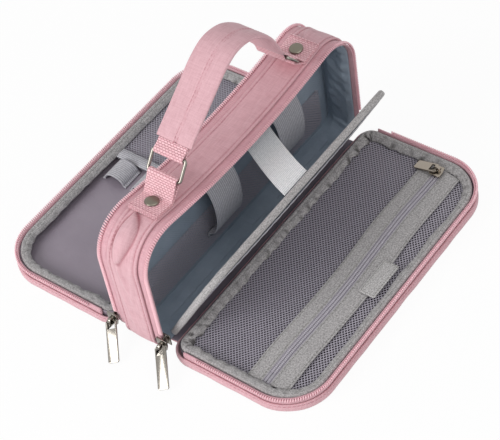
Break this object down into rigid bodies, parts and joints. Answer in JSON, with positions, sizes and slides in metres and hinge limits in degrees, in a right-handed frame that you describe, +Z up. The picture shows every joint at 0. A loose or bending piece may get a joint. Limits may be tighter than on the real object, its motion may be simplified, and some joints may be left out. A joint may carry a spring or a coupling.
{
  "type": "pencil case",
  "caption": "Soft pencil case that unfolds: an upright body with a divider, covers that fold down and zip shut, a fold-out page and a strap handle on rings.",
  "frame": {"origin": "on the table under the middle of the body", "axes": "+X along the case, with the main sliders at the -X end; the front cover opens towards -Y and the back cover towards +Y; +Z up"},
  "size_m": [0.2483, 0.249, 0.1611],
  "materials": {
    "pink_fabric": "brushed polyester, matte",
    "pink_tape": "woven zip tape, matte",
    "pink_webbing": "ribbed webbing",
    "pink_teeth": "nylon coil",
    "gray_binding": "heather bias binding",
    "gray_net": "polyester mesh",
    "gray_elastic": "ribbed elastic",
    "mauve_lining": "coated lining",
    "mauve_teeth": "nylon coil",
    "blue_lining": "coated lining",
    "pale_webbing": "ribbed webbing",
    "nickel": "plated, polished"
  },
  "bodies": {
    "body": {"gusset_band": "pink_fabric", "body_lining": "blue_lining", "front_body_zip_tape": "pink_tape", "back_body_zip_tape": "pink_tape", "front_body_zip_teeth": "pink_teeth", "back_body_zip_teeth": "pink_teeth", "front_hinge_tape": "pink_fabric", "back_hinge_tape": "pink_fabric", "page_hinge_tape": "blue_lining", "centre_divider": "blue_lining", "divider_pocket": "gray_net", "near_divider_elastic": "gray_elastic", "far_divider_elastic": "gray_elastic", "strap_patch": "gray_elastic", "page_strap": "pale_webbing", "near_handle_tab": "pink_webbing", "far_handle_tab": "pink_webbing", "near_rivet": "nickel", "far_rivet": "nickel"},
    "page": {"page_panel": "blue_lining", "page_binding": "gray_binding", "page_pocket_net": "gray_net", "page_pocket_elastic": "gray_elastic"},
    "handle": {"near_ring": "nickel", "far_ring": "nickel", "near_handle_loop": "pink_webbing", "far_handle_loop": "pink_webbing", "handle_strap": "pink_fabric"},
    "front_cover": {"front_cover_shell": "pink_fabric", "front_cover_lining": "mauve_lining", "front_cover_binding": "gray_binding", "front_cover_zip_tape": "pink_tape", "front_cover_zip_teeth": "pink_teeth", "front_pocket_inner_net": "gray_net", "front_pocket_outer_net": "gray_net", "pocket_inner_strip": "gray_elastic", "pocket_outer_strip": "gray_elastic", "pocket_inner_teeth": "mauve_teeth", "pocket_outer_teeth": "mauve_teeth", "loop_patch": "pale_webbing"},
    "back_cover": {"back_cover_shell": "pink_fabric", "back_cover_lining": "mauve_lining", "back_cover_binding": "gray_binding", "back_cover_zip_tape": "pink_tape", "back_cover_zip_teeth": "pink_teeth", "back_pocket_net": "gray_net", "back_pocket_trim": "gray_elastic", "first_pen_loop": "gray_elastic", "second_pen_loop": "gray_elastic"},
    "pocket_slider": {"pocket_slider": "nickel"},
    "pocket_pull": {"pocket_pull": "nickel"},
    "front_slider": {"front_slider": "nickel"},
    "front_pull": {"front_pull": "nickel"},
    "back_slider": {"back_slider": "nickel"},
    "back_pull": {"back_pull": "nickel"}
  },
  "joints": [
    {"name": "front_cover_hinge", "type": "hinge", "parent": "body", "child": "front_cover", "pos_m": [0, -0.0275, 0.006], "axis": [-1, 0, 0], "range_deg": [0, 90], "deforming": ["front_hinge_tape"]},
    {"name": "back_cover_hinge", "type": "hinge", "parent": "body", "child": "back_cover", "pos_m": [0, 0.0275, 0.006], "axis": [1, 0, 0], "range_deg": [0, 90], "deforming": ["back_hinge_tape"]},
    {"name": "page_hinge", "type": "hinge", "parent": "body", "child": "page", "pos_m": [0, -0.0145, 0.005], "axis": [-1, 0, 0], "range_deg": [0, 30], "deforming": ["page_strap", "page_hinge_tape"]},
    {"name": "handle_swing", "type": "hinge", "parent": "body", "child": "handle", "pos_m": [0, 0, 0.107], "axis": [1, 0, 0], "range_deg": [-45, 45], "deforming": ["near_handle_tab", "far_handle_tab"]},
    {"name": "pocket_slider_slide", "type": "slide", "parent": "front_cover", "child": "pocket_slider", "axis": [-1, 0, 0], "range_m": [0, 0.18]},
    {"name": "pocket_pull_swing", "type": "hinge", "parent": "pocket_slider", "child": "pocket_pull", "pos_m": [0.0966, -0.089, 0.0137], "axis": [1, 0, 0], "range_deg": [0, 193]},
    {"name": "front_slider_slide", "type": "slide", "parent": "body", "child": "front_slider", "axis": [0, 0, 1], "range_m": [0, 0.045]},
    {"name": "front_pull_swing", "type": "hinge", "parent": "front_slider", "child": "front_pull", "pos_m": [-0.1158, -0.02, 0.0155], "axis": [0, 1, 0], "range_deg": [0, 120]},
    {"name": "back_slider_slide", "type": "slide", "parent": "body", "child": "back_slider", "axis": [0, 0, 1], "range_m": [0, 0.045]},
    {"name": "back_pull_swing", "type": "hinge", "parent": "back_slider", "child": "back_pull", "pos_m": [-0.1158, 0.02, 0.0155], "axis": [0, 1, 0], "range_deg": [0, 120]}
  ],
  "couplings": [
    {"joint": "page_hinge", "follows": "front_cover_hinge", "ratio": 0.33333}
  ]
}
